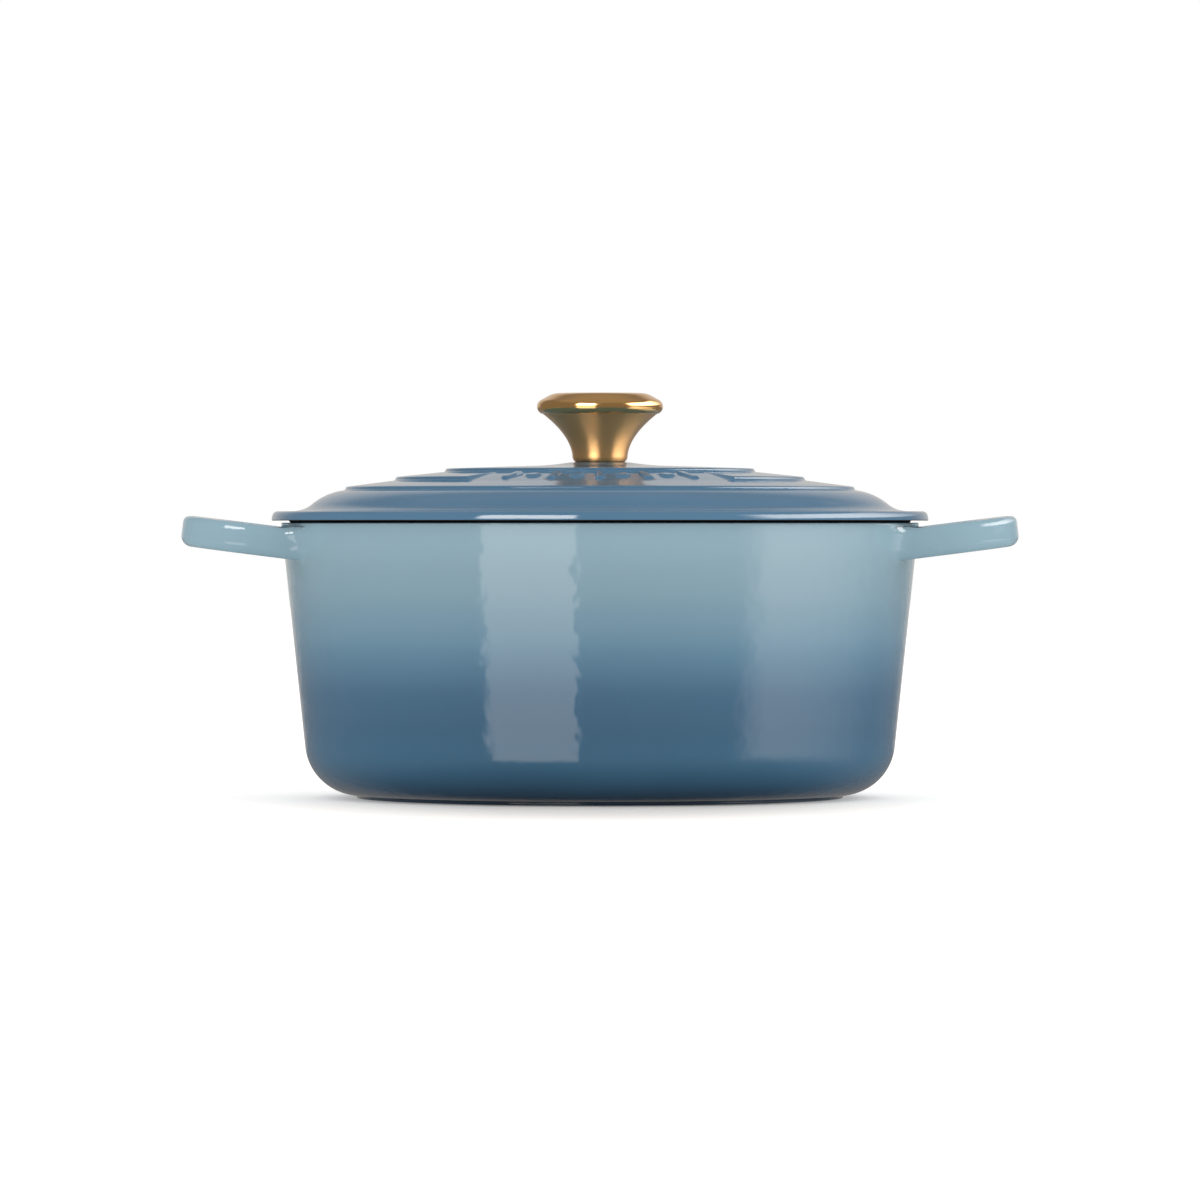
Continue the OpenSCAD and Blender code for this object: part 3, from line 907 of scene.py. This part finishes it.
def build_world():
    """White light all round, a little stronger on the right, with softboxes that only gloss sees."""
    world = bpy.data.worlds.new("studio")
    bpy.context.scene.world = world
    world.use_nodes = True
    tree = world.node_tree
    even = tree.nodes["Background"]
    even.inputs["Color"].default_value = (1, 1, 1, 1)
    studio = tree.nodes.new("ShaderNodeBackground")
    studio.inputs["Color"].default_value = (1, 0.95, 0.9, 1)
    place = tree.nodes.new("ShaderNodeTexCoord")
    split = tree.nodes.new("ShaderNodeSeparateXYZ")
    tree.links.new(place.outputs["Generated"], split.inputs["Vector"])
    x, y, z = split.outputs
    bearing = math_node(tree, "ARCTAN2", x, math_node(tree, "MULTIPLY", y, -1.0))
    degrees = math_node(tree, "MULTIPLY", bearing, 180 / math.pi)
    left = window(tree, degrees, -44, 3, -9, 2)
    right = window(tree, degrees, 59, 16, 98, 70)
    far_right = window(tree, degrees, 59, 16, 120, 80)
    lamps = math_node(tree, "MULTIPLY", window(tree, z, 0.16, 0.06, 0.6, 0.1), 12.0)
    left_table = math_node(tree, "MULTIPLY", window(tree, z, -0.46, 0.14, -0.1, 0.06), 2.3)
    right_table = math_node(tree, "MULTIPLY", window(tree, z, -0.36, 0.34, -0.1, 0.06), 1.8)
    right_lamps = math_node(tree, "MULTIPLY", math_node(tree, "MULTIPLY", far_right, lamps), 0.75)
    left_side = math_node(tree, "MULTIPLY", left, math_node(tree, "ADD", lamps, left_table))
    right_side = math_node(tree, "ADD", right_lamps, math_node(tree, "MULTIPLY", right, right_table))
    boxes = math_node(tree, "ADD", left_side, right_side)
    overhead = math_node(tree, "MULTIPLY", smooth_step(tree, z, 0.6, 0.85), 0.12)
    height = window(tree, z, -0.04, 0.06, 0.6, 0.3)
    backdrop = math_node(tree, "MULTIPLY", smooth_step(tree, y, 0.7, 0.95), height)
    behind = math_node(tree, "MULTIPLY", backdrop, 0.42)
    dim = math_node(tree, "MULTIPLY", smooth_step(tree, z, -0.8, -0.4), 0.18)
    above = math_node(tree, "ADD", overhead, behind)
    room = math_node(tree, "ADD", above, math_node(tree, "ADD", dim, 0.06))
    tree.links.new(math_node(tree, "ADD", boxes, room), studio.inputs["Strength"])
    path = tree.nodes.new("ShaderNodeLightPath")
    unseen = math_node(tree, "SUBTRACT", 1.0, path.outputs["Is Camera Ray"])
    lean = math_node(tree, "MULTIPLY", math_node(tree, "MULTIPLY", x, unseen), 0.15)
    tree.links.new(math_node(tree, "ADD", lean, 1.0), even.inputs["Strength"])
    choice = tree.nodes.new("ShaderNodeMixShader")
    tree.links.new(path.outputs["Is Glossy Ray"], choice.inputs["Fac"])
    tree.links.new(even.outputs["Background"], choice.inputs[1])
    tree.links.new(studio.outputs["Background"], choice.inputs[2])
    tree.links.new(choice.outputs["Shader"], tree.nodes["World Output"].inputs["Surface"])


def build_camera():
    """A long lens at the height of the gap between lid and rim, looking at the pot's middle."""
    data = bpy.data.cameras.new("camera")
    data.sensor_width = 36
    data.lens = 256.8
    camera = bpy.data.objects.new("camera", data)
    bpy.context.scene.collection.objects.link(camera)
    camera.location = (0, -3.6, 0.1163)
    aim = Vector((0, 0, 0.0831)) - camera.location
    camera.rotation_euler = aim.to_track_quat("-Z", "Y").to_euler()
    bpy.context.scene.camera = camera


pale_coat, black_coat = build_pot()
build_lid(pale_coat, black_coat)
build_knob()
dress_cad(iron(), "pot_casting", "lid_casting")
dress_cad(steel(), "knob_insert", "knob_screw", "flat_washer", "spring_washer")
build_floor()
build_world()
build_camera()
bpy.context.scene.view_settings.view_transform = "Standard"
